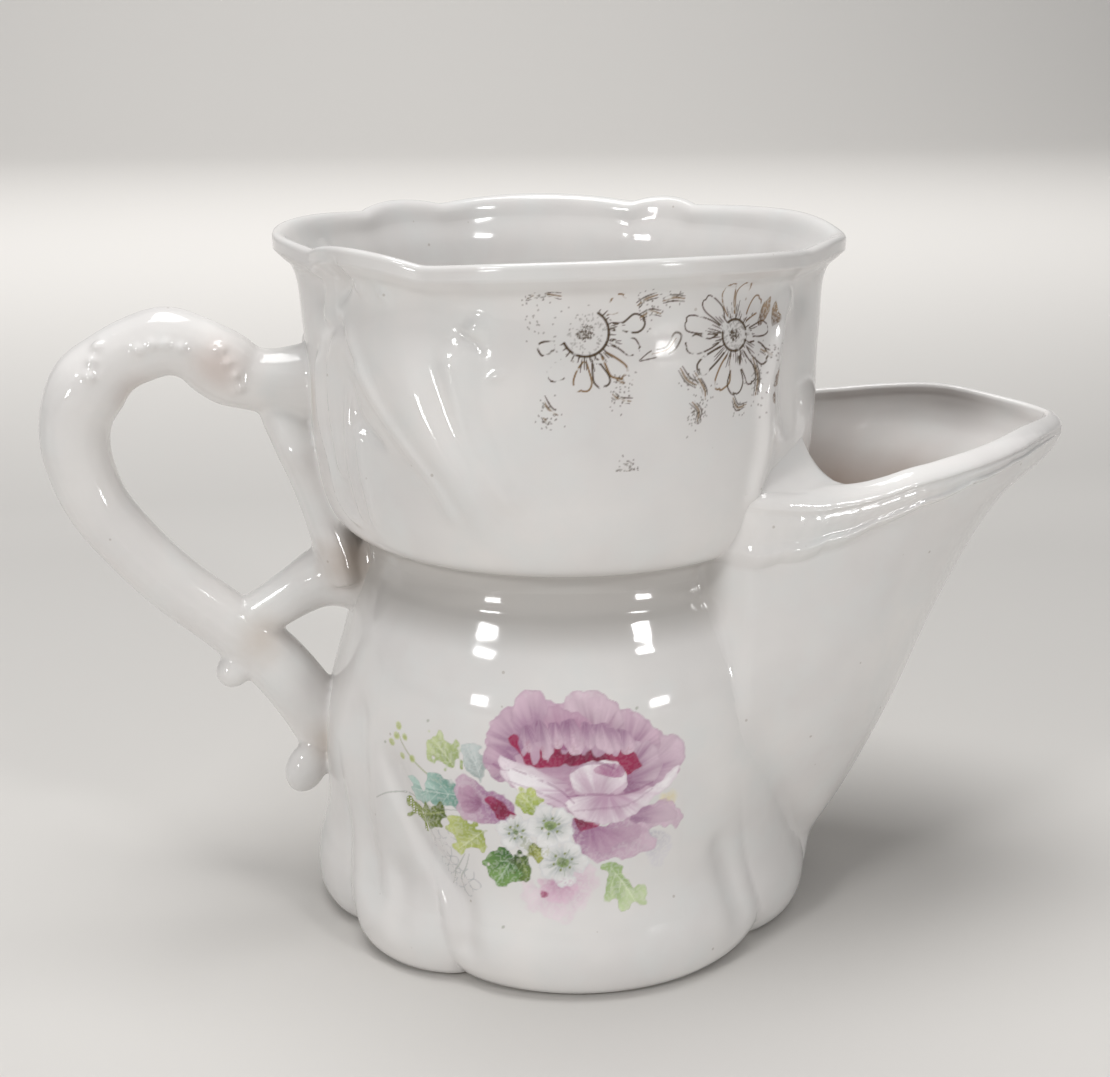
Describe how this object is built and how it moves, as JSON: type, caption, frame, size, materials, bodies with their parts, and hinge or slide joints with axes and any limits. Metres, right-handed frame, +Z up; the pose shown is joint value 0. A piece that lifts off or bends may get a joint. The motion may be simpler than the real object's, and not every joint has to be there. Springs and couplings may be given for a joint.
{
  "type": "shaving scuttle",
  "caption": "Glazed porcelain shaving scuttle: scalloped lather bowl over a lobed water reservoir, wedge brush spout, branch handle and a floral spray.",
  "frame": {"origin": "on the table under the middle of the footprint", "axes": "+X from the handle to the spout's lip, +Y to the back, +Z up"},
  "size_m": [0.1548, 0.0804, 0.105],
  "materials": {
    "glaze": "warm white porcelain under a clear glossy glaze, with printed flowers and worn gilt outlines",
    "stained_glaze": "the same glaze, tea-brown with mineral stain inside the spout",
    "bare_clay": "unglazed matt porcelain where the foot was wiped for firing"
  },
  "bodies": {
    "root": {"foot_ring": "bare_clay", "base_plate": "glaze", "reservoir_wall": "glaze", "waist_collar": "glaze", "lather_bowl": "glaze", "soap_drainer": "glaze", "brush_spout": "stained_glaze", "spout_ruffle_front": "glaze", "spout_ruffle_back": "glaze", "handle_root": "glaze", "handle_arch": "glaze", "handle_limb": "glaze", "handle_tail": "glaze", "handle_collar_front": "glaze", "handle_collar_rear": "glaze", "handle_strut": "glaze", "handle_leaf": "glaze", "upper_bud": "glaze", "lower_bud": "glaze"}
  },
  "joints": []
}
